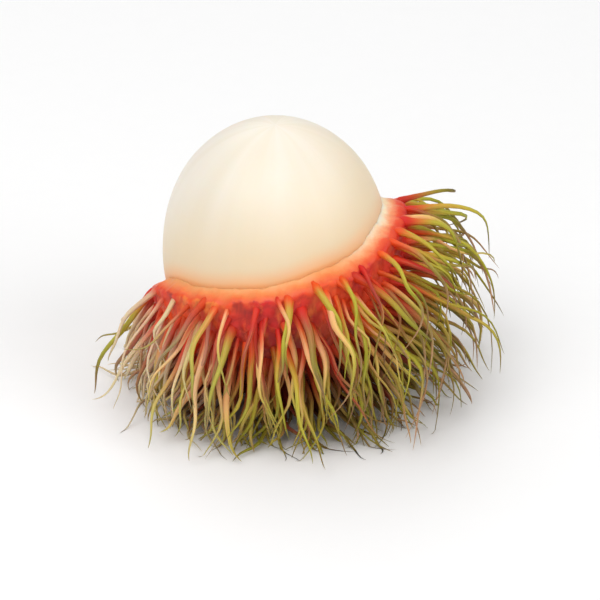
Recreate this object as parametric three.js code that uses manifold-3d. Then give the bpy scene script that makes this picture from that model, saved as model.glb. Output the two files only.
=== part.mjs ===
// A rambutan with the upper part of its rind peeled off, resting on a surface.
//
// Two pieces, in millimetres, +Z up, with the origin at the middle of the small flat spot that it rests on:
//   aril  the white flesh, an egg-shaped solid that sits in the rind
//   rind  the part of the rind that is left, an open cup, with the soft spines that grow from it
//
// The fruit stands upright, so its own axis is Z. Its torn edge is highest on the right, towards +X.

import * as THREE from 'three';
import { mergeVertices } from 'three/addons/utils/BufferGeometryUtils.js';
import Module from 'manifold-3d';

const wasm = await Module();
wasm.setup();

// --- Driving dimensions ---------------------------------------------------------------------------------

const ARIL_RADIUS = 16.1; // half the width of the flesh
const ARIL_HALF_LENGTH = 19.7; // from its widest section to each end
const ARIL_FULLNESS = 0.02; // how much wider than an ellipsoid its shoulders are
const SEAT_GAP = 0.35; // between the flesh and the inside of the rind
const RIND_THICKNESS = 1.9;
const FLAT_DEPTH = 1.2; // how far the rind's underside is pressed flat

const EDGE_HEIGHT = - 0.5; // the torn edge above the fruit's widest section, on average
const EDGE_RISE = new THREE.Vector2( 5.7, - 3.9 ); // how much more that is towards +X and +Y
const EDGE_ROUND = 0.45;
const EDGE_BEND = 20; // the edge's rise and fall fade out this far below it

const SPINE_COUNT = 226; // on the whole band between SPINE_TOP and the underside
const SPINE_TOP = 7.5; // above the fruit's widest section
const SPINE_BELOW_EDGE = 0.6; // no root is nearer to the torn edge
const SPINE_LOWEST_ROOT = 2.4; // above the surface
const SPINE_LENGTH = [ 13, 23 ]; // shortest and longest
const SPINE_RADIUS = 0.62; // of the shaft, which narrows slowly
const SPINE_ROOT_RADIUS = 1.05;
const SPINE_ROOT_DEPTH = 0.9; // sunk into the rind
const SPINE_CLEARANCE = 1.3; // from the surface up to the centreline
const SPINE_SEED = 7.31;
const SPINE_SIDES = 3;
const SPINE_STEPS = 5;

const PROP_COUNT = 3; // short stiff spines round the flat spot that steady the fruit
const PROP_TURN = 0.5;
const PROP_ROOT_DISTANCE = 9.8; // from the fruit's axis
const PROP_TIP_DISTANCE = 12.5;
const PROP_RADIUS = 1.1; // at the root
const PROP_SIDES = 6;

// --- Worked out from them -------------------------------------------------------------------------------

const INNER_RADIUS = ARIL_RADIUS + SEAT_GAP;
const INNER_HALF_LENGTH = ARIL_HALF_LENGTH + SEAT_GAP;
const OUTER_RADIUS = INNER_RADIUS + RIND_THICKNESS;
const OUTER_HALF_LENGTH = INNER_HALF_LENGTH + RIND_THICKNESS;
const MIDDLE = OUTER_HALF_LENGTH - FLAT_DEPTH; // height of the fruit's widest section
const UP = new THREE.Vector3( 0, 0, 1 );

// --- Helpers --------------------------------------------------------------------------------------------

// A repeatable number from 0 to 1 for each spine and purpose.
function draw( spine, purpose ) {

	const wave = Math.sin( SPINE_SEED + spine * 12.9898 + purpose * 78.233 ) * 43758.5453;
	return wave - Math.floor( wave );

}

// A closed geometry as a solid that can be joined and cut.
function solidOf( geometry ) {

	const bare = geometry.clone();
	bare.deleteAttribute( 'normal' );
	bare.deleteAttribute( 'uv' );
	const merged = mergeVertices( bare, 1e-4 );
	return new wasm.Manifold( new wasm.Mesh( {
		numProp: 3,
		vertProperties: merged.attributes.position.array,
		triVerts: new Uint32Array( merged.index.array )
	} ) );

}

function geometryOf( solid ) {

	const mesh = solid.getMesh();
	const geometry = new THREE.BufferGeometry();
	geometry.setAttribute( 'position', new THREE.BufferAttribute( mesh.vertProperties, 3 ) );
	geometry.setIndex( new THREE.BufferAttribute( mesh.triVerts, 1 ) );
	geometry.computeVertexNormals();
	return geometry;

}

// --- The flesh ------------------------------------------------------------------------------------------

function makeAril() {

	const steps = 30;
	const profile = [];
	for ( let i = 0; i <= steps; i ++ ) {

		const angle = - Math.PI / 2 + Math.PI * i / steps;
		const shoulder = 1 + ARIL_FULLNESS * Math.sin( 2 * Math.max( 0, angle ) ) ** 2;
		const radius = i === 0 || i === steps ? 0 : ARIL_RADIUS * Math.cos( angle ) * shoulder;
		profile.push( new THREE.Vector2( radius, ARIL_HALF_LENGTH * Math.sin( angle ) ) );

	}

	return new THREE.LatheGeometry( profile, 40 ).rotateX( Math.PI / 2 );

}

// --- The rind's cup -------------------------------------------------------------------------------------

// The outside's width at a height from the fruit's widest section, as a share of the widest.
function bulge( height ) {

	return Math.sqrt( Math.max( 0, 1 - ( Math.min( height, 0 ) / OUTER_HALF_LENGTH ) ** 2 ) );

}

// The torn edge's height above the fruit's widest section, at an angle round the fruit's axis.
function rimHeight( around ) {

	const slope = EDGE_RISE.x * Math.cos( around ) + EDGE_RISE.y * Math.sin( around );
	const waves = 1.55 * Math.sin( 2 * around + 0.66 ) + 0.7 * Math.sin( 3 * around + 2.5 )
		+ 0.5 * Math.sin( 4 * around + 0.6 ) + 0.15 * Math.sin( 9 * around );
	return EDGE_HEIGHT + slope + waves;

}

// How far the edge is pulled outwards from the flesh there.
function rimFlare( around ) {

	return 0.3 * Math.max( 0, Math.cos( around ) ) ** 2;

}

function makeCup() {

	const wallSteps = 10;
	const wall = ( radius, halfLength ) => {

		const points = [ new THREE.Vector2( 0, - halfLength ) ];
		for ( let i = 1; i < wallSteps; i ++ ) {

			const angle = Math.PI / 2 * i / wallSteps;
			points.push( new THREE.Vector2( radius * Math.sin( angle ), - halfLength * Math.cos( angle ) ) );

		}

		return points;

	};

	const profile = [
		...wall( OUTER_RADIUS, OUTER_HALF_LENGTH ),
		new THREE.Vector2( OUTER_RADIUS, - EDGE_ROUND ),
		new THREE.Vector2( OUTER_RADIUS - EDGE_ROUND, 0 ),
		new THREE.Vector2( INNER_RADIUS + EDGE_ROUND, 0 ),
		new THREE.Vector2( INNER_RADIUS, - EDGE_ROUND ),
		...wall( INNER_RADIUS, INNER_HALF_LENGTH ).reverse()
	];

	// The half ellipsoid's level edge is drawn up or down to the torn edge, and the wall under it goes along.
	const cup = new THREE.LatheGeometry( profile, 40 ).rotateX( Math.PI / 2 );
	const position = cup.attributes.position;
	const point = new THREE.Vector3();
	for ( let i = 0; i < position.count; i ++ ) {

		point.fromBufferAttribute( position, i );
		const around = Math.atan2( point.y, point.x );
		const near = THREE.MathUtils.smoothstep( point.z, - EDGE_BEND, 0 );
		const height = point.z + near * rimHeight( around );
		const radius = Math.hypot( point.x, point.y );
		const spread = near > 0 ? bulge( height ) / bulge( point.z ) + near * rimFlare( around ) / radius : 1;
		position.setXYZ( i, point.x * spread, point.y * spread, height + MIDDLE );

	}

	return solidOf( cup );

}

// --- The spines -----------------------------------------------------------------------------------------

// Where spine i grows from: spread evenly over the band by turning through the golden angle.
function spineRoot( i ) {

	const goldenAngle = Math.PI * ( 3 - Math.sqrt( 5 ) );
	const around = i * goldenAngle + 0.12 * ( draw( i, 1 ) - 0.5 );
	const share = ( i + 0.5 + 0.8 * ( draw( i, 2 ) - 0.5 ) ) / SPINE_COUNT;
	const height = THREE.MathUtils.lerp( SPINE_TOP, - OUTER_HALF_LENGTH, share );
	const radius = OUTER_RADIUS * bulge( height );
	const normal = new THREE.Vector3(
		radius * Math.cos( around ) / OUTER_RADIUS ** 2,
		radius * Math.sin( around ) / OUTER_RADIUS ** 2,
		Math.min( height, 0 ) / OUTER_HALF_LENGTH ** 2
	).normalize();
	const near = THREE.MathUtils.smoothstep( height - rimHeight( around ), - EDGE_BEND, 0 );
	const flare = near * rimFlare( around );
	const root = new THREE.Vector3(
		( radius + flare ) * Math.cos( around ),
		( radius + flare ) * Math.sin( around ),
		height + MIDDLE
	);
	const onCup = height < rimHeight( around ) - SPINE_BELOW_EDGE && root.z > SPINE_LOWEST_ROOT;
	return { around, root, normal, onCup };

}

// The centreline of spine i. The spines hang, most on the left. On the right they rise a little and hook down
// at their tips, and the lowest are pressed outwards along the surface. None goes under it.
function spineCurve( i ) {

	const { around, root, normal } = spineRoot( i );
	const length = THREE.MathUtils.lerp( SPINE_LENGTH[ 0 ], SPINE_LENGTH[ 1 ], draw( i, 3 ) );
	const outward = new THREE.Vector3( root.x, root.y, 0 ).normalize();
	const sideways = new THREE.Vector3( - outward.y, outward.x, 0 );
	const pressed = 1 - THREE.MathUtils.smoothstep( root.z, 0, 10 ); // 1 where the surface is close below
	const hang = ( 1 - pressed ) * ( 0.55 - 0.45 * Math.cos( around ) ) * ( 0.7 + 0.6 * draw( i, 6 ) );
	const rise = ( 1 - pressed ) * Math.max( 0, Math.cos( around ) );
	const sway = draw( i, 4 ) - 0.5;
	const curl = draw( i, 5 ) - 0.5;

	const first = normal.clone()
		.addScaledVector( outward, 0.2 + 1.3 * pressed )
		.addScaledVector( UP, 0.2 * rise - 0.8 * hang )
		.addScaledVector( sideways, 0.7 * sway )
		.normalize();
	const second = first.clone()
		.addScaledVector( outward, 0.25 )
		.addScaledVector( UP, - 0.45 * ( 1 - pressed ) - 0.7 * hang )
		.addScaledVector( sideways, 0.5 * curl )
		.normalize();
	const third = second.clone()
		.addScaledVector( UP, - 0.8 * ( 1 - pressed ) - 0.2 * hang - 0.9 * rise )
		.addScaledVector( sideways, 1.2 * curl )
		.normalize();

	const points = [ root.clone().addScaledVector( normal, - SPINE_ROOT_DEPTH ) ];
	const shares = [ 0.36, 0.34, 0.3 ];
	[ first, second, third ].forEach( ( direction, k ) => {

		const next = points[ k ].clone().addScaledVector( direction, length * shares[ k ] );
		next.z = Math.max( next.z, SPINE_CLEARANCE );
		points.push( next );

	} );
	return new THREE.CubicBezierCurve3( ...points );

}

// Half a spine's width at a share of its length from the root, thick at the root and pointed at the tip.
function spineRadius( share ) {

	const root = SPINE_ROOT_RADIUS * Math.exp( - share * 9 );
	const shaft = SPINE_RADIUS * ( 1 - share ) ** 0.5;
	return Math.max( root, shaft ) + 0.3 * Math.min( root, shaft );

}

// A thin cone bent along the spine's centreline.
function makeSpine( i ) {

	const curve = spineCurve( i );
	const cone = new THREE.ConeGeometry( 1, 1, SPINE_SIDES, SPINE_STEPS );
	const position = cone.attributes.position;
	const sideways = new THREE.Vector3( - curve.v0.y, curve.v0.x, 0 ).normalize();
	for ( let k = 0; k < position.count; k ++ ) {

		const share = position.getY( k ) + 0.5;
		const angle = Math.atan2( position.getZ( k ), position.getX( k ) );
		const onAxis = Math.hypot( position.getX( k ), position.getZ( k ) ) < 1e-6;
		const radius = onAxis ? 0 : spineRadius( share );
		const along = curve.getTangent( share );
		const across = sideways.clone().addScaledVector( along, - sideways.dot( along ) ).normalize();
		const other = across.clone().cross( along );
		const point = curve.getPoint( share )
			.addScaledVector( across, radius * Math.cos( angle ) )
			.addScaledVector( other, radius * Math.sin( angle ) );
		position.setXYZ( k, point.x, point.y, point.z );

	}

	return solidOf( cone );

}

// A short straight spine from inside the rind's underside down to the surface, where its tip ends.
function makeProp( k ) {

	const around = PROP_TURN + 2 * Math.PI * k / PROP_COUNT;
	const outward = new THREE.Vector3( Math.cos( around ), Math.sin( around ), 0 );
	const skin = MIDDLE - OUTER_HALF_LENGTH * Math.sqrt( 1 - ( PROP_ROOT_DISTANCE / OUTER_RADIUS ) ** 2 );
	const root = outward.clone().multiplyScalar( PROP_ROOT_DISTANCE ).setZ( skin + RIND_THICKNESS / 2 );
	const tip = outward.clone().multiplyScalar( PROP_TIP_DISTANCE );
	const along = tip.clone().sub( root );
	const coneAxis = new THREE.Vector3( 0, 1, 0 );
	const turn = new THREE.Quaternion().setFromUnitVectors( coneAxis, along.clone().normalize() );
	const middle = root.clone().add( tip ).divideScalar( 2 );
	const cone = new THREE.ConeGeometry( PROP_RADIUS, along.length(), PROP_SIDES ).applyQuaternion( turn );
	return solidOf( cone.translate( middle.x, middle.y, middle.z ) );

}

// --- Cup and spines as one body, pressed flat underneath --------------------------------------------------

function makeRind() {

	let rind = makeCup();
	for ( let i = 0; i < SPINE_COUNT; i ++ ) {

		if ( spineRoot( i ).onCup ) rind = rind.add( makeSpine( i ) );

	}

	for ( let k = 0; k < PROP_COUNT; k ++ ) rind = rind.add( makeProp( k ) );

	const under = new THREE.BoxGeometry( 200, 200, 40 ).translate( 0, 0, - 20 );
	rind = rind.subtract( solidOf( under ) );
	const largestFirst = rind.decompose().sort( ( a, b ) => b.volume() - a.volume() );
	return geometryOf( largestFirst[ 0 ] );

}

// --- The object -----------------------------------------------------------------------------------------

function named( name, geometry, color, roughness ) {

	const material = new THREE.MeshStandardMaterial( { color, roughness, metalness: 0 } );
	const mesh = new THREE.Mesh( geometry, material );
	mesh.name = name;
	return mesh;

}

const aril = named( 'aril', makeAril(), 0xf0e4cf, 0.4 );
aril.position.z = MIDDLE;

const rambutan = new THREE.Group();
rambutan.add( aril, named( 'rind', makeRind(), 0xb8341c, 0.55 ) );

export default rambutan;
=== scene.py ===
import math

import bpy
import numpy as np
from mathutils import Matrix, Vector


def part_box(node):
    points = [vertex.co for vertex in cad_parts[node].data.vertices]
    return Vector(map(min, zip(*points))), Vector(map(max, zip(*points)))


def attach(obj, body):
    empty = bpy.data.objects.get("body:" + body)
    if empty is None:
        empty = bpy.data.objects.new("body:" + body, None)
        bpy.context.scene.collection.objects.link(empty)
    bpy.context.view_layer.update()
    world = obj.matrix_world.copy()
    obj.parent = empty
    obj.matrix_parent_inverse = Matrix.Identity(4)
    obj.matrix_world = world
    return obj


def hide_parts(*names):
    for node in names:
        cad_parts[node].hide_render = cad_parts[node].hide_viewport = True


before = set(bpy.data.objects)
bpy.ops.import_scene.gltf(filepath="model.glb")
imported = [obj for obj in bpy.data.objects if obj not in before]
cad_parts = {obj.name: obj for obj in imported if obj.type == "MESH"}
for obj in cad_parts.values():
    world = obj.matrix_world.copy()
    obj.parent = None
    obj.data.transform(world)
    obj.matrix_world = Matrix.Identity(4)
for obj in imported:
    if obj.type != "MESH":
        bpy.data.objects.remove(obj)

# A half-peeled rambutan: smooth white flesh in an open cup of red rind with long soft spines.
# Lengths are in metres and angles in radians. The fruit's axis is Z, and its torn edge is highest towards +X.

MM = 0.001
GOLDEN_ANGLE = math.pi * (3 - math.sqrt(5))
UP = np.array((0.0, 0.0, 1.0))

# --- Sizes that the solids have too ---

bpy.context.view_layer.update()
aril_low, aril_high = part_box("aril")
ARIL_RADIUS = (aril_high.x - aril_low.x) / 2
ARIL_HALF_LENGTH = (aril_high.z - aril_low.z) / 2
MIDDLE = (aril_high.z + aril_low.z) / 2  # height of the fruit's widest section
ARIL_FULLNESS = 0.02  # how much wider than an ellipsoid its shoulders are

SEAT_GAP = 0.35 * MM
RIND_THICKNESS = 1.9 * MM
INNER_RADIUS = ARIL_RADIUS + SEAT_GAP
INNER_HALF_LENGTH = ARIL_HALF_LENGTH + SEAT_GAP
OUTER_RADIUS = INNER_RADIUS + RIND_THICKNESS
OUTER_HALF_LENGTH = INNER_HALF_LENGTH + RIND_THICKNESS

EDGE_HEIGHT = -0.5 * MM  # the torn edge above the widest section, on average
EDGE_RISE = (5.7 * MM, -3.9 * MM)  # how much more that is towards +X and +Y
EDGE_WAVES_MM = ((1.55, 2, 0.66), (0.7, 3, 2.5), (0.5, 4, 0.6), (0.15, 9, 0))  # in millimetres, see ripple
EDGE_BEND = 20 * MM  # the edge's rise and fall fade out this far below it
EDGE_FLARE = 0.3 * MM  # how far the edge is pulled outwards from the flesh at the most, towards +X

SPINE_TOP = 7.5 * MM  # of the band that the spines grow on, above the widest section
SPINE_BELOW_EDGE = 0.6 * MM  # no root is nearer to the torn edge
SPINE_LOWEST_ROOT = 2.4 * MM  # above the surface
SPINE_ROOT_DEPTH = 0.9 * MM
SPINE_CLEARANCE = 1.3 * MM  # from the surface up to the centreline
SPINE_SEED = 7.31
PRESSED_BELOW = 10 * MM  # roots lower than this press their spines outwards

PROP_COUNT = 3  # short stiff spines round the flat spot
PROP_TURN = 0.5
PROP_ROOT_DISTANCE = 9.8 * MM  # from the fruit's axis
PROP_TIP_DISTANCE = 12.5 * MM
PROP_RADIUS = 1.1 * MM

# --- Sizes of the finer detail ---

RIBS = ((0.008 * MM, 9, 0.7), (0.006 * MM, 17, 2.0))  # faint ones along the flesh, see ripple
TEAR_WAVES = (  # the torn edge's small raggedness, see ripple
    (0.13 * MM, 11, 1.3), (0.11 * MM, 19, 4.1), (0.08 * MM, 37, 2.2),
    (0.05 * MM, 61, 0.4), (0.04 * MM, 97, 5.0),
)
LIP_HEIGHT = 0.45 * MM  # how far the torn edge rounds up from its outside
BEVEL = 0.45 * MM  # how much lower the torn edge starts on its outside
LIP_WAVE = 0.10 * MM
INNER_EDGE_RISE = 0.5 * MM  # how much higher the torn edge ends on its inside
PITH_OVERLAP = 0.05 * MM  # how far the pith closes into the flesh at the edge
CUSHION_HEIGHT = 0.05 * MM  # of the skin round each root, above the grooves
CUSHION_SLOPE = 1.1 * MM
MOUND_HEIGHT = 0.3 * MM  # of the skin that rises to each root
MOUND_RADIUS = 0.9 * MM
GROOVE_DEPTH = 0.1 * MM
RELIEF_START = 1.4 * MM  # the skin's relief is complete this far below the edge
ROOT_DIVE = 0.7 * MM  # how much deeper a spine's end bends in, so that it leaves the skin at a steeper angle
RING_LOWEST = 0.05 * MM  # above the surface, for the sides of the spines
TIP_LOWEST = 0.1 * MM
REDDEST = 4.3  # the side of the fruit where most spines are red, as an angle round its axis
CLEAN_SIDE = 0.2  # the side where the torn edge is clean pale pith, as an angle round its axis


class Purpose:
    """What each draw decides. The first six are also drawn for the solids."""
    TURN, HEIGHT, LENGTH, SWAY, CURL, HANG = range(1, 7)
    WAVES = (7, 8, 9, 10)
    THICKNESS, TWIST, TONE, SHADE, GATHER, RIPE, HOOK_SIDE, HOOK_SIZE, PALE = range(11, 20)


# --- Shape formulas, mostly the same as the solids' ---

def draw(index, purpose):
    """A repeatable number from 0 to 1 for each spine and purpose."""
    wave = np.sin(SPINE_SEED + index * 12.9898 + purpose * 78.233) * 43758.5453
    return wave - np.floor(wave)


def smoothstep(value, low, high):
    share = np.clip((value - low) / (high - low), 0, 1)
    return share * share * (3 - 2 * share)


def unit(vectors):
    return vectors / np.linalg.norm(vectors, axis=-1, keepdims=True)


def ripple(around, waves):
    """A sum of waves round the axis. Each is its size, how many times it comes round, and its turn."""
    return sum(size * np.sin(times * around + turn) for size, times, turn in waves)


def bulge(height):
    """The outside's width at a height from the widest section, as a share of the widest."""
    return np.sqrt(np.maximum(0, 1 - (np.minimum(height, 0) / OUTER_HALF_LENGTH) ** 2))


def rim_height(around):
    """The torn edge's height above the widest section."""
    slope = EDGE_RISE[0] * np.cos(around) + EDGE_RISE[1] * np.sin(around)
    return EDGE_HEIGHT + slope + ripple(around, EDGE_WAVES_MM) * MM


def rim_flare(around):
    """How far the edge is pulled outwards from the flesh."""
    return EDGE_FLARE * np.maximum(0, np.cos(around)) ** 2


def flesh_radius(height):
    """The flesh's half width at a height from the widest section."""
    sine = np.clip(height / ARIL_HALF_LENGTH, -1, 1)
    cosine = np.sqrt(1 - sine**2)
    return ARIL_RADIUS * cosine * (1 + ARIL_FULLNESS * (2 * np.maximum(0, sine) * cosine) ** 2)


def round_axis(radius, around, height):
    """Points at these distances from the axis, angles round it, and heights from the widest section."""
    return np.stack((radius * np.cos(around), radius * np.sin(around), height + MIDDLE), axis=-1)


def outside(around, height):
    """Points on the rind's outside at heights from the widest section, and the directions out of it."""
    radius = OUTER_RADIUS * bulge(height)
    normal = unit(np.stack((
        radius * np.cos(around) / OUTER_RADIUS**2,
        radius * np.sin(around) / OUTER_RADIUS**2,
        np.minimum(height, 0) / OUTER_HALF_LENGTH**2,
    ), axis=-1))
    radius = radius + smoothstep(height - rim_height(around), -EDGE_BEND, 0) * rim_flare(around)
    return round_axis(radius, around, height), normal


def band(first, spread, turn, below_edge):
    """Numbers, angles and heights of roots spread evenly over the cup by turning through the golden angle.

    spread is how many the whole band from SPINE_TOP to the underside would hold.
    """
    index = np.arange(spread)
    around = index * GOLDEN_ANGLE + turn + 0.12 * (draw(index + first, Purpose.TURN) - 0.5)
    share = (index + 0.5 + 0.8 * (draw(index + first, Purpose.HEIGHT) - 0.5)) / spread
    height = SPINE_TOP + (-OUTER_HALF_LENGTH - SPINE_TOP) * share
    on_cup = (height < rim_height(around) - below_edge) & (height + MIDDLE > SPINE_LOWEST_ROOT)
    return (index + first)[on_cup], around[on_cup], height[on_cup]


def edge_row(first, count):
    """Numbers, angles and heights of roots in a row just under the torn edge."""
    index = np.arange(count) + first
    around = 2 * math.pi * (index + 0.8 * draw(index, Purpose.TURN)) / count
    return index, around, rim_height(around) - (0.5 + 1.2 * draw(index, Purpose.HEIGHT)) * MM


class Spines:
    """A set of spines: where each grows from, its centreline and its thickness."""

    def __init__(self, roots, length, droop, loose, radius, root_radius):
        self.index, self.around, height = roots
        self.root, self.normal = outside(self.around, height)
        self.below_edge = rim_height(self.around) - height
        self.length = length[0] + (length[1] - length[0]) * self.draw(Purpose.LENGTH)
        self.radius = radius
        self.root_radius = root_radius
        self.controls = self.make_controls(droop, loose)

    def draw(self, purpose):
        return draw(self.index, purpose)

    def make_controls(self, droop, loose):
        """The four control points of each spine's Bezier centreline.

        droop is how much the spines hang, and loose is how far they stray sideways.
        """
        outward = unit(self.root * (1, 1, 0))
        sideways = np.cross(UP, outward)
        pressed = 1 - smoothstep(self.root[:, 2], 0, PRESSED_BELOW)
        hang = droop * (1 - pressed) * (0.55 - 0.45 * np.cos(self.around))
        hang = hang * (0.7 + 0.6 * self.draw(Purpose.HANG))
        rise = (1 - pressed) * np.maximum(0, np.cos(self.around))
        sway = loose * (self.draw(Purpose.SWAY) - 0.5)
        curl = loose * (self.draw(Purpose.CURL) - 0.5)

        def lean(base, out, down, side):
            out, down, side = (np.reshape(amount, (-1, 1)) for amount in (out, down, side))
            return unit(base + outward * out - UP * down + sideways * side)

        first = lean(self.normal, 0.2 + 1.3 * pressed, 0.8 * hang - 0.2 * rise, 0.7 * sway)
        second = lean(first, 0.25, 0.45 * (1 - pressed) + 0.7 * hang, 0.5 * curl)
        third = lean(second, 0, 0.8 * (1 - pressed) + 0.2 * hang + 0.9 * loose * rise, 1.2 * curl)
        points = [self.root - self.normal * SPINE_ROOT_DEPTH]
        for direction, share in ((first, 0.36), (second, 0.34), (third, 0.3)):
            following = points[-1] + direction * (self.length * share)[:, None]
            following[:, 2] = np.maximum(following[:, 2], SPINE_CLEARANCE)
            points.append(following)
        return points

    def gather(self, others, every):
        """Bends each spine, most at its tip, towards one of the others that grows near it.

        Only each so manyth of the others, as every says, draws spines to it, so that they form tufts.
        """
        gaps = np.linalg.norm(self.root[:, None] - others.root[None, ::every], axis=-1)
        nearest = np.argmin(gaps, axis=1) * every
        for k, share in ((1, 0.15), (2, 0.6), (3, 1.0)):
            move = others.controls[k][nearest] - self.controls[k]
            self.controls[k] += move * (share * self.draw(Purpose.GATHER)[:, None])


def prop_spines():
    """The short stiff spines round the flat spot, which end on the surface."""
    index = np.arange(PROP_COUNT) + 5000  # numbers that no other spine has
    around = PROP_TURN + 2 * math.pi * np.arange(PROP_COUNT) / PROP_COUNT
    height = np.full(PROP_COUNT, -OUTER_HALF_LENGTH * math.sqrt(1 - (PROP_ROOT_DISTANCE / OUTER_RADIUS) ** 2))
    props = Spines((index, around, height), length=(3 * MM, 3 * MM), droop=0, loose=0,
                   radius=PROP_RADIUS / 1.5, root_radius=PROP_RADIUS)
    tip = np.stack((np.cos(around), np.sin(around), 0 * around), axis=-1) * PROP_TIP_DISTANCE
    root = props.root + UP * RIND_THICKNESS / 2
    props.controls = [root + (tip - root) * share for share in (0, 1 / 3, 2 / 3, 1)]
    return props


main_spines = Spines(band(first=0, spread=226, turn=0.0, below_edge=SPINE_BELOW_EDGE),
                     length=(13 * MM, 23 * MM), droop=1, loose=1, radius=0.42 * MM, root_radius=0.85 * MM)
fine_spines = Spines(band(first=1000, spread=800, turn=1.1, below_edge=2.2 * MM),
                     length=(9 * MM, 21 * MM), droop=2.2, loose=1.8, radius=0.37 * MM, root_radius=0.6 * MM)
fine_spines.gather(main_spines, every=2)
edge_spines = Spines(edge_row(first=3000, count=38),
                     length=(11 * MM, 21 * MM), droop=1.4, loose=1.9, radius=0.38 * MM, root_radius=0.7 * MM)


# --- Mesh helpers ---

def mesh_object(name, points, faces, attributes):
    """A smooth-shaded mesh object. attributes maps a name to one number, or one vector, for each point."""
    mesh = bpy.data.meshes.new(name)
    mesh.from_pydata(points.tolist(), [], faces)
    for key, values in attributes.items():
        values = np.asarray(values, np.float32)
        kind, field = ("FLOAT", "value") if values.ndim == 1 else ("FLOAT_VECTOR", "vector")
        mesh.attributes.new(key, kind, "POINT").data.foreach_set(field, values.ravel())
    mesh.shade_smooth()
    mesh.update()
    thing = bpy.data.objects.new(name, mesh)
    bpy.context.scene.collection.objects.link(thing)
    return thing


def grid_faces(rows, columns, offset=0):
    """Quads between rows of points that close on themselves."""
    row, column = np.meshgrid(np.arange(rows - 1), np.arange(columns), indexing="ij")
    after = (column + 1) % columns
    quads = np.stack((row * columns + column, row * columns + after,
                      (row + 1) * columns + after, (row + 1) * columns + column), axis=-1)
    return (quads.reshape(-1, 4) + offset).tolist()


def fan_faces(start, columns, centre, turned=False):
    """Triangles from a closed row of points to one point."""
    column = np.arange(columns)
    pair = [start + column, start + (column + 1) % columns]
    if turned:
        pair.reverse()
    return np.stack((*pair, np.full(columns, centre)), axis=-1).tolist()


def closed_faces(rows, columns):
    """Faces of rows of points, closed by two points that follow them: one at the first row, one at the last."""
    count = rows * columns
    faces = grid_faces(rows, columns)
    faces += fan_faces(0, columns, count, turned=True)
    faces += fan_faces(count - columns, columns, count + 1)
    return faces


def tube_faces(count, rings, sides):
    """Faces of closed tubes. All the tubes' tips, and then all their starts, follow the points of the rings."""
    size = rings * sides
    faces = []
    for tube in range(count):
        start = tube * size
        faces += grid_faces(rings, sides, start)
        faces += fan_faces(start + (rings - 1) * sides, sides, count * size + tube)
        faces += fan_faces(start, sides, count * size + count + tube, turned=True)
    return faces


# --- The flesh ---

def make_flesh():
    rows, columns = 119, 180
    angle = -math.pi / 2 + math.pi * (np.arange(1, rows + 1) / (rows + 1))[:, None]
    around = (2 * math.pi * np.arange(columns) / columns)[None, :]
    height = ARIL_HALF_LENGTH * np.sin(angle) + 0 * around
    radius = flesh_radius(height) + ripple(around, RIBS) * np.cos(angle) ** 2
    poles = np.array([(0, 0, MIDDLE - ARIL_HALF_LENGTH), (0, 0, MIDDLE + ARIL_HALF_LENGTH)])
    points = np.concatenate((round_axis(radius, around, height).reshape(-1, 3), poles))
    above = (height - rim_height(around)).ravel() / MM
    fibre = np.stack((
        np.cos(around) + 0 * angle,
        np.sin(around) + 0 * angle,
        height / ARIL_RADIUS * 0.12,  # so the fibres run lengthwise
    ), axis=-1)
    return mesh_object("flesh", points, closed_faces(rows, columns), {
        "above_edge": np.append(above, (-20, 20)),
        "clean": np.append((clean_share(around) + 0 * height).ravel(), (0, 0)),
        "fibre": np.concatenate((fibre.reshape(-1, 3), ((0, 0, -0.15), (0, 0, 0.15)))),
    })


# --- The rind's cup ---

def nearest_two(points, roots):
    """Distances from each point to its nearest and second nearest root."""
    nearest = np.empty((len(points), 2))
    step = 4000  # points at a time, to save memory
    for start in range(0, len(points), step):
        part = points[start:start + step]
        gaps = np.linalg.norm(part[:, None] - roots[None], axis=-1)
        nearest[start:start + step] = np.partition(gaps, 1, axis=1)[:, :2]
    return nearest[:, 0], nearest[:, 1]


def clean_share(around):
    """1 on the side where the edge shows clean pale pith, and 0 where it is stained orange."""
    return smoothstep(np.cos(around - CLEAN_SIDE), 0.3, 0.95)


def wall(around, rows, radius, half_length, top, hug):
    """Rows of points from just above the bottom up to the edge, on one face of the rind.

    top is how far the last row is above the edge's own height. hug is 1 where the wall closes in on the flesh
    towards the edge, and 0 where it doesn't.
    """
    angle = (math.pi / 2 * np.arange(1, rows + 1) / rows)[:, None]
    flat = -half_length * np.cos(angle)
    near = smoothstep(flat, -EDGE_BEND, 0)
    height = flat + near * (rim_height(around) + top)
    wide = radius * np.sin(angle)
    spread = bulge(height) / np.maximum(bulge(flat), 1e-9)  # never divided by zero
    wide = wide * np.where(near > 0, spread, 1) + near * rim_flare(around)
    return wide + hug * near * (flesh_radius(height) - PITH_OVERLAP - wide), height


def skin_relief(skin, below_edge):
    """How far the skin moves outwards at each point, and the cushions' share there.

    Each spine stands on a low cushion of skin, and grooves run between the cushions.
    """
    roots = np.concatenate([spines.root for spines in (main_spines, fine_spines, edge_spines)])
    first, second = nearest_two(skin, roots)
    cushion = smoothstep(second - first, 0, CUSHION_SLOPE)
    mound = np.exp(-((first / MOUND_RADIUS) ** 2))
    relief = CUSHION_HEIGHT * cushion + MOUND_HEIGHT * mound - GROOVE_DEPTH
    return relief * smoothstep(below_edge, BEVEL, RELIEF_START), cushion


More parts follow.
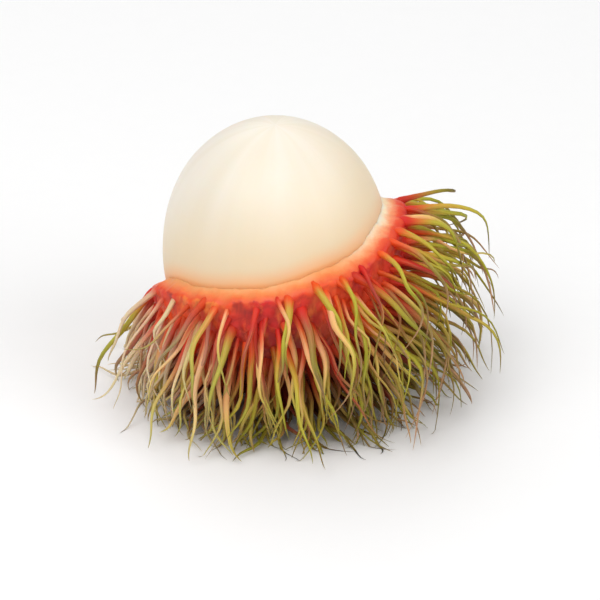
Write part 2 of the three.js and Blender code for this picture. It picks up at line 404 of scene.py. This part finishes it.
def make_cup():
    columns, wall_rows, edge_rows, inner_rows = 320, 96, 12, 40
    around = (2 * math.pi * np.arange(columns) / columns)[None, :]
    outer_top = ripple(around, TEAR_WAVES) - LIP_HEIGHT - BEVEL
    outer_wide, outer_height = wall(around, wall_rows, OUTER_RADIUS, OUTER_HALF_LENGTH, outer_top, hug=0)
    inner_top = 0.7 * ripple(around + 0.4, TEAR_WAVES) + INNER_EDGE_RISE
    inner_wide, inner_height = wall(around, inner_rows, INNER_RADIUS, INNER_HALF_LENGTH, inner_top, hug=1)

    # The edge: a lip from the outer wall to the inner wall, rounded on its outside.
    across = (np.arange(1, edge_rows) / edge_rows)[:, None]
    rise = LIP_HEIGHT * (np.sin(0.5 * math.pi * np.minimum(1, 2.5 * across)) ** 0.6 - across)
    rise = rise + LIP_WAVE * np.sin(23 * around + 5 * across) * np.sin(math.pi * across)
    edge_wide = outer_wide[-1:] + (inner_wide[-1:] - outer_wide[-1:]) * across
    climb = 0.75 * across + 0.25 * across**6  # it curves up where it meets the flesh
    edge_height = outer_height[-1:] + (inner_height[-1:] - outer_height[-1:]) * climb + rise

    wide = np.concatenate((outer_wide, edge_wide, inner_wide[::-1]))
    height = np.concatenate((outer_height, edge_height, inner_height[::-1]))
    points = round_axis(wide, around, height)
    skin = points[:wall_rows].reshape(-1, 3)
    _, normal = outside(around + 0 * outer_height, outer_height)
    relief, cushion = skin_relief(skin, (rim_height(around) - outer_height).ravel())
    skin += normal.reshape(-1, 3) * relief[:, None]
    points[:wall_rows] = skin.reshape(wall_rows, columns, 3)
    points[..., 2] = np.maximum(points[..., 2], 0)

    poles = np.array([(0, 0, 0), (0, 0, MIDDLE - INNER_HALF_LENGTH)])
    pith = np.concatenate((np.zeros(wall_rows), np.arange(1, edge_rows) / edge_rows, np.ones(inner_rows)))
    groove = np.zeros(wide.shape)
    groove[:wall_rows] = 1 - cushion.reshape(wall_rows, columns)
    below = (rim_height(around) - height) / MM
    points = np.concatenate((points.reshape(-1, 3), poles))
    return mesh_object("rind-cup", points, closed_faces(len(wide), columns), {
        "pith": np.append(np.repeat(pith, columns), (0, 1)),
        "groove": np.append(groove.ravel(), (0, 0)),
        "clean": np.append((clean_share(around) + 0 * wide).ravel(), (0, 0)),
        "below_edge": np.append(below.ravel(), (25, 25)),
    })


# --- The spines ---

def centrelines(spines, share):
    """Points at these shares of each spine's centreline, and two directions across it at each."""
    a, b, c, d = (point[:, None, :] for point in spines.controls)
    s = share[None, :, None]
    centre = (1 - s) ** 3 * a + 3 * (1 - s) ** 2 * s * b + 3 * (1 - s) * s**2 * c + s**3 * d
    along = unit((1 - s) ** 2 * (b - a) + 2 * (1 - s) * s * (c - b) + s**2 * (d - c))
    sideways = unit(np.cross(UP, a))
    across = unit(sideways - along * np.sum(sideways * along, axis=-1, keepdims=True))
    other = np.cross(along, across)

    # Waves, and the start's dive into the skin.
    wave = [spines.draw(purpose)[:, None] for purpose in Purpose.WAVES]
    swing = 0.06 * spines.length[:, None] * np.sin(math.pi * share) * share
    sway_a = swing * (0.4 + wave[0]) * np.sin(2 * math.pi * (1.3 * share + wave[1]))
    sway_b = swing * (0.4 + wave[2]) * np.sin(2 * math.pi * (1.1 * share + wave[3]))
    centre = centre + across * sway_a[..., None] + other * sway_b[..., None]
    centre -= spines.normal[:, None] * (ROOT_DIVE * np.maximum(0, 1 - share / 0.08) ** 2)[:, None]
    return centre, across, other


def hook_shift(spines, share, across, other, hook):
    """How far a hook moves the points at these shares of each spine, and its tip.

    The outer half of each spine bends into a hook, mostly downwards, and strongest on the +X side.
    """
    side = (-math.pi / 2 + 3.4 * (spines.draw(Purpose.HOOK_SIDE) - 0.5))[:, None]
    more = 1 + 0.9 * np.maximum(0, np.cos(spines.around))
    strength = hook * more * spines.length * spines.draw(Purpose.HOOK_SIZE)
    bend = strength[:, None] * np.maximum(0, np.append(share, 1) - 0.5) ** 2
    half_way = len(share) // 2
    towards = across[:, half_way] * np.cos(side) + other[:, half_way] * np.sin(side)
    return towards[:, None] * bend[..., None]


def thickness(spines, share):
    """Each spine's half width at these shares of its length."""
    root = spines.root_radius * np.exp(-6 * share)
    shaft = spines.radius * (1 - share) ** 0.6
    radius = (np.maximum(root, shaft) + 0.2 * np.minimum(root, shaft))[None, :]
    radius = radius * (0.4 + 0.6 * smoothstep(share, 0, 0.06))
    return radius * (0.7 + 0.6 * spines.draw(Purpose.THICKNESS))[:, None]


def make_spines(name, spines, sides, rings, hook):
    """Tapered tubes along the centrelines, a little flattened and a little wavy, with hooked ends."""
    share = 0.5 - 0.5 * np.cos(math.pi * np.arange(rings) / rings)
    centre, across, other = centrelines(spines, share)
    shift = hook_shift(spines, share, across, other, hook)
    centre = centre + shift[:, :-1]
    tip = spines.controls[3] + shift[:, -1]
    tip[:, 2] = np.maximum(tip[:, 2], TIP_LOWEST)

    angle = 2 * math.pi * np.arange(sides) / sides
    twist = 6.28 * spines.draw(Purpose.TWIST)[:, None, None]
    flat = 1 + 0.16 * np.cos(2 * (angle[None, None, :] + 1.5 * share[None, :, None] + twist))
    ring = centre[:, :, None] + (thickness(spines, share)[..., None] * flat)[..., None] * (
        across[:, :, None] * np.cos(angle)[:, None] + other[:, :, None] * np.sin(angle)[:, None])
    ring[..., 2] = np.maximum(ring[..., 2], RING_LOWEST)

    def each(values):
        """One value for each spine, as one for each point."""
        return np.concatenate((np.repeat(values, rings * sides), values, values))

    count = len(spines.index)
    length = spines.length[:, None, None] / MM
    grain = np.stack(np.broadcast_arrays(
        np.cos(angle)[None, None, :] + 7.0 * spines.index[:, None, None],
        np.sin(angle)[None, None, :],
        0.12 * share[None, :, None] * length,
    ), axis=-1).reshape(-1, 3)
    facing = np.cos(spines.around)  # 1 towards +X
    points = np.concatenate((ring.reshape(-1, 3), tip, centre[:, 0]))
    return mesh_object(name, points, tube_faces(count, rings, sides), {
        "along": np.concatenate((np.tile(np.repeat(share, sides), count), np.ones(count), np.zeros(count))),
        "tone": each(spines.draw(Purpose.TONE) + 0.18 * np.cos(spines.around - REDDEST)),
        "shade": each(spines.draw(Purpose.SHADE)),
        "pale": each(np.minimum(0.82, 1.7 * np.maximum(0, -facing) ** 2 * spines.draw(Purpose.PALE))),
        "ripe": each(spines.draw(Purpose.RIPE) + 0.5 * np.maximum(0, facing)),
        "depth": each(smoothstep(spines.below_edge, 5 * MM, 18 * MM)),
        "grain": np.concatenate((grain, np.zeros((2 * count, 3)))),
    })


# --- Materials ---

def linear(code):
    """A colour given as six hex digits, as Blender's linear numbers."""
    shares = [int(code[k:k + 2], 16) / 255 for k in (0, 2, 4)]
    return (*(s / 12.92 if s <= 0.04045 else ((s + 0.055) / 1.055) ** 2.4 for s in shares), 1)


class Surface:
    """A Principled material and short ways to add nodes to it."""

    def __init__(self, name, **constants):
        self.material = bpy.data.materials.new(name)
        self.material.use_nodes = True
        self.tree = self.material.node_tree
        self.shader = self.tree.nodes["Principled BSDF"]
        for socket, value in constants.items():
            self.shader.inputs[socket.replace("_", " ")].default_value = value

    def node(self, kind, inputs, **settings):
        node = self.tree.nodes.new("ShaderNode" + kind)
        for key, value in settings.items():
            setattr(node, key, value)
        for key, value in inputs.items():
            self.feed(node.inputs[key], value)
        return node

    def feed(self, socket, value):
        if isinstance(value, bpy.types.NodeSocket):
            self.tree.links.new(value, socket)
        else:
            socket.default_value = value

    def place(self):
        return self.node("TexCoord", {}).outputs["Object"]

    def attribute(self, name, output="Fac"):
        return self.node("Attribute", {}, attribute_name=name).outputs[output]

    def noise(self, vector, scale, detail=3, roughness=0.5):
        inputs = {"Vector": vector, "Scale": scale, "Detail": detail, "Roughness": roughness}
        return self.node("TexNoise", inputs).outputs["Fac"]

    def spread(self, value, low, high, to_low=0.0, to_high=1.0):
        """value mapped from the range low to high, smoothly, and held at its ends."""
        inputs = {"Value": value, "From Min": low, "From Max": high, "To Min": to_low, "To Max": to_high}
        return self.node("MapRange", inputs, interpolation_type="SMOOTHSTEP").outputs["Result"]

    def spread_attribute(self, name, *limits):
        return self.spread(self.attribute(name), *limits)

    def combine(self, a, b, operation):
        return self.node("Math", {0: a, 1: b}, operation=operation).outputs[0]

    def add(self, a, b):
        return self.combine(a, b, "ADD")

    def times(self, a, b):
        return self.combine(a, b, "MULTIPLY")

    def ramp(self, value, stops):
        node = self.node("ValToRGB", {"Fac": value})
        elements = node.color_ramp.elements
        while len(elements) < len(stops):
            elements.new(0.5)
        for element, (place, code) in zip(elements, stops):
            element.position = place
            element.color = linear(code)
        return node.outputs["Color"]

    def mix(self, share, a, b):
        node = self.node("Mix", {0: share}, data_type="RGBA")
        self.feed(node.inputs[6], linear(a) if isinstance(a, str) else a)
        self.feed(node.inputs[7], linear(b) if isinstance(b, str) else b)
        return node.outputs[2]

    def skin_patches(self, place):
        """The skin's orange and red patches, the same on the cup as at the roots of the spines."""
        return self.mix(self.spread(self.noise(place, 90, 2), 0.42, 0.60), "F0521E", "D22220")

    def bump(self, height, distance):
        node = self.node("Bump", {"Height": height, "Distance": distance, "Strength": 1.0})
        self.feed(self.shader.inputs["Normal"], node.outputs["Normal"])

    def finish(self, color, roughness):
        self.feed(self.shader.inputs["Base Color"], color)
        self.feed(self.shader.inputs["Roughness"], roughness)
        return self.material


# Colours from 0, where the torn edge meets the skin, to 1 at the flesh.
STAINED_PITH = ((0.0, "E6542A"), (0.25, "EC6C3A"), (0.6, "F08E52"), (0.9, "F3A468"), (1.0, "F4AE74"))
CLEAN_PITH = ((0.0, "D42C14"), (0.3, "E4502E"), (0.55, "F09A6C"), (0.8, "F8D8B2"), (1.0, "F6EAD4"))

# Colours from 0 at a spine's root to 1 at its tip.
GREEN_SPINE = (
    (0.0, "E04A1C"), (0.12, "D86A22"), (0.28, "C89E3A"), (0.5, "BAB03A"), (0.8, "9A9C28"), (1.0, "5E5416"))
PEACH_SPINE = (
    (0.0, "EA5020"), (0.08, "F07840"), (0.22, "F8B080"), (0.5, "ECBE74"), (0.72, "BCB046"), (1.0, "7C7030"))
WINE_SPINE = (
    (0.0, "C8281E"), (0.25, "B8302A"), (0.45, "A03E30"), (0.65, "96663A"), (0.85, "8A8034"), (1.0, "584A1E"))


def flesh_material():
    s = Surface("flesh", Subsurface_Weight=0.45, Subsurface_Radius=(1.0, 0.72, 0.5), Subsurface_Scale=3.0 * MM,
                Specular_IOR_Level=0.4, Coat_Weight=0.05, Coat_Roughness=0.35)
    fibre = s.noise(s.attribute("fibre", "Vector"), 16, 4, 0.6)
    cloud = s.noise(s.attribute("fibre", "Vector"), 2.2, 2)
    color = s.mix(s.spread(cloud, 0.35, 0.65), "EEE5D3", "F2EADC")
    color = s.mix(s.spread(fibre, 0.45, 0.75, 0, 0.08), color, "E6DAC4")

    # Painted shade lower down: a darker, warmer cream. Then, just above the torn edge, a painted glow of the
    # rind's orange light, and painted orange light right at the edge, over the shade there.
    color = s.mix(s.times(s.spread_attribute("above_edge", 1.0, 16.0, 1, 0), 0.9), color, "EAD4AE")
    # Painted light: the orange light that the rind throws onto the flesh just above the torn edge, weaker on
    # the clean side.
    painted_bounce_glow = s.spread_attribute("above_edge", 0.0, 3.6, 1, 0)
    color = s.mix(s.times(painted_bounce_glow, s.spread_attribute("clean", 0, 1, 0.95, 0.4)), color, "FAB87C")
    # Painted light: orange light right at the flesh's foot, laid over the shade where it meets the pith, and
    # not on the clean side.
    painted_edge_light = s.combine(s.spread_attribute("above_edge", 0.2, 1.5, 1, 0), s.attribute("clean"), "SUBTRACT")
    color = s.mix(s.spread(painted_edge_light, 0, 1, 0, 0.75), color, "FAA664")
    s.bump(fibre, 0.025 * MM)
    return s.finish(color, s.spread(fibre, 0.3, 0.7, 0.40, 0.52))


def rind_material():
    s = Surface("rind", Subsurface_Weight=0.2, Subsurface_Radius=(1.0, 0.35, 0.2), Subsurface_Scale=1.2 * MM,
                Specular_IOR_Level=0.4)
    place = s.place()
    downwards = s.node("VectorMath", {0: place, 1: (1, 1, 0.35)}, operation="MULTIPLY").outputs[0]
    runs = s.noise(downwards, 330, 3, 0.6)
    mottle = s.noise(place, 600, 4, 0.6)
    pores = s.noise(place, 2600, 2)

    # Skin: patches, lighter and darker runs, dark grooves of painted shade, deep red on the clean side, and
    # painted shade that makes it dark underneath.
    skin = s.skin_patches(place)
    skin = s.mix(s.spread(runs, 0.52, 0.7, 0, 0.8), skin, "F0883A")
    skin = s.mix(s.spread(runs, 0.42, 0.28, 0, 0.7), skin, "8E1A1A")
    # Painted shade in the grooves between the cushions.
    skin = s.mix(s.spread_attribute("groove", 0.3, 1.0, 0, 0.25), skin, "8A1C10")
    skin = s.mix(s.times(s.attribute("clean"), 0.9), skin, "C8180E")
    # Painted shade: darker low on the cup and underneath, where the spines hang over it.
    skin = s.mix(s.spread_attribute("below_edge", 4.5, 15), skin, "5C1A0A")

    across = s.add(s.attribute("pith"), s.spread(mottle, 0.3, 0.7, -0.08, 0.08))
    pith = s.mix(s.attribute("clean"), s.ramp(across, STAINED_PITH), s.ramp(across, CLEAN_PITH))
    color = s.mix(s.spread(across, 0.0, 0.12), skin, pith)
    s.bump(s.add(mottle, s.times(pores, 0.4)), 0.06 * MM)
    return s.finish(color, s.spread(mottle, 0.3, 0.7, 0.38, 0.55))


def spine_material():
    s = Surface("spines", Subsurface_Weight=0.25, Subsurface_Radius=(1.0, 0.5, 0.15), Subsurface_Scale=0.9 * MM,
                Specular_IOR_Level=0.25)
    grain = s.attribute("grain", "Vector")
    streaks_and_highlights = s.noise(grain, 1.7, 3, 0.6)
    blotches = s.noise(grain, 0.7, 2)

    # Green, peach or wine-red, each with its own ramp, which a ripe spine runs through sooner.
    along = s.add(s.attribute("along"), s.spread(blotches, 0.3, 0.7, -0.10, 0.10))
    along = s.add(along, s.spread_attribute("ripe", 0, 1.5, -0.14, 0.28))
    green, peach, wine = (s.ramp(along, stops) for stops in (GREEN_SPINE, PEACH_SPINE, WINE_SPINE))
    color = s.mix(s.spread_attribute("tone", 0.46, 0.56), green, peach)
    color = s.mix(s.spread_attribute("tone", 0.80, 0.88), color, wine)
    # Pale streaks along each spine: partly the spines' own streaks, partly painted highlight.
    color = s.mix(s.spread(streaks_and_highlights, 0.45, 0.8, 0, 0.4), color, "E6CE6E")

    # Pale spines on the left, pinkish ends on ripe ones, the skin's colours at the root, and dimmer spines.
    pale = s.times(s.attribute("pale"), s.spread_attribute("along", 0.1, 0.5, 0.75, 1.0))
    color = s.mix(pale, color, "F0DAB6")
    end = s.times(s.spread_attribute("along", 0.55, 0.9), s.spread_attribute("ripe", 0.8, 1.2, 0, 0.55))
    color = s.mix(end, color, "D8A486")
    reach = s.spread_attribute("shade", 0, 1, 0.14, 0.46)
    near_root = s.combine(s.attribute("along"), reach, "DIVIDE")
    color = s.mix(s.spread(near_root, 0.1, 1.0, 1, 0), color, s.skin_patches(s.place()))
    dim = s.mix(s.spread_attribute("along", 0.25, 0.65), "9C3A1C", "6C561C")
    color = s.mix(s.spread_attribute("shade", 0.6, 1.0, 0, 0.35), color, dim)

    # Painted shade: darker low down on the cup, where other spines hang over them.
    painted_shade = s.times(s.attribute("depth"), s.spread_attribute("along", 0.0, 0.95, 0.9, 0.15))
    color = s.mix(painted_shade, color, s.mix(s.spread_attribute("depth", 0.15, 0.8), "B8401C", "3E1602"))
    s.bump(streaks_and_highlights, 0.10 * MM)
    return s.finish(color, s.spread(streaks_and_highlights, 0.3, 0.7, 0.42, 0.60))


# --- The object ---

def dress(thing, material, node):
    thing.data.materials.append(material)
    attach(thing, "root")
    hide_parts(node)


dress(make_flesh(), flesh_material(), "aril")
dress(make_cup(), rind_material(), "rind")
spine_finish = spine_material()
for name, spines, sides, rings, hook in (
    ("rind-spines", main_spines, 10, 22, 1.0),
    ("rind-fine-spines", fine_spines, 8, 16, 1.2),
    ("rind-edge-spines", edge_spines, 10, 22, 1.5),
    ("rind-props", prop_spines(), 10, 8, 0),
):
    dress(make_spines(name, spines, sides, rings, hook), spine_finish, "rind")


# --- Floor, light and camera ---

def make_floor():
    half = 2.0
    corners = np.array([(-half, -half, 0), (half, -half, 0), (half, half, 0), (-half, half, 0)])
    floor = mesh_object("floor", corners, [(0, 1, 2, 3)], {})
    s = Surface("floor")
    grain = s.noise(s.place(), 300, 2)
    floor.data.materials.append(s.finish(s.mix(grain, "F8F8F8", "FAFAFA"), 0.6))


def look(holder, aim, away, distance):
    """Puts a light or camera this far away from what it looks at."""
    holder.location = aim + away * distance
    holder.rotation_euler = away.to_track_quat("Z", "Y").to_euler()
    bpy.context.scene.collection.objects.link(holder)


def area_light(name, azimuth, elevation, distance, power):
    """A square light that looks at the fruit. Azimuth 0 is at the camera's side, and 90 on the right."""
    data = bpy.data.lights.new(name, "AREA")
    data.size = 0.6
    data.energy = power
    a, e = math.radians(azimuth), math.radians(elevation)
    away = Vector((math.sin(a) * math.cos(e), -math.cos(a) * math.cos(e), math.sin(e)))
    look(bpy.data.objects.new(name, data), Vector((0, 0, MIDDLE)), away, distance)


def make_world():
    world = bpy.data.worlds.new("studio")
    world.use_nodes = True
    background = world.node_tree.nodes["Background"]
    background.inputs["Color"].default_value = (1, 1, 1, 1)
    background.inputs["Strength"].default_value = 0.42
    bpy.context.scene.world = world
    bpy.context.scene.view_settings.view_transform = "Standard"


def make_camera():
    elevation = math.radians(28)
    distance = 0.8
    view_width = 0.086
    camera = bpy.data.cameras.new("camera")
    camera.sensor_width = 36
    camera.lens = camera.sensor_width * distance / view_width
    camera.clip_start = 0.05
    holder = bpy.data.objects.new("camera", camera)
    away = Vector((0, -math.cos(elevation), math.sin(elevation)))
    look(holder, Vector((0.0035, 0, 0.0125)), away, distance)
    bpy.context.scene.camera = holder


make_floor()
area_light("key", azimuth=-40, elevation=58, distance=0.7, power=2.9)
area_light("fill", azimuth=60, elevation=35, distance=0.9, power=2.9)
area_light("back", azimuth=190, elevation=40, distance=0.9, power=1.4)
make_world()
make_camera()
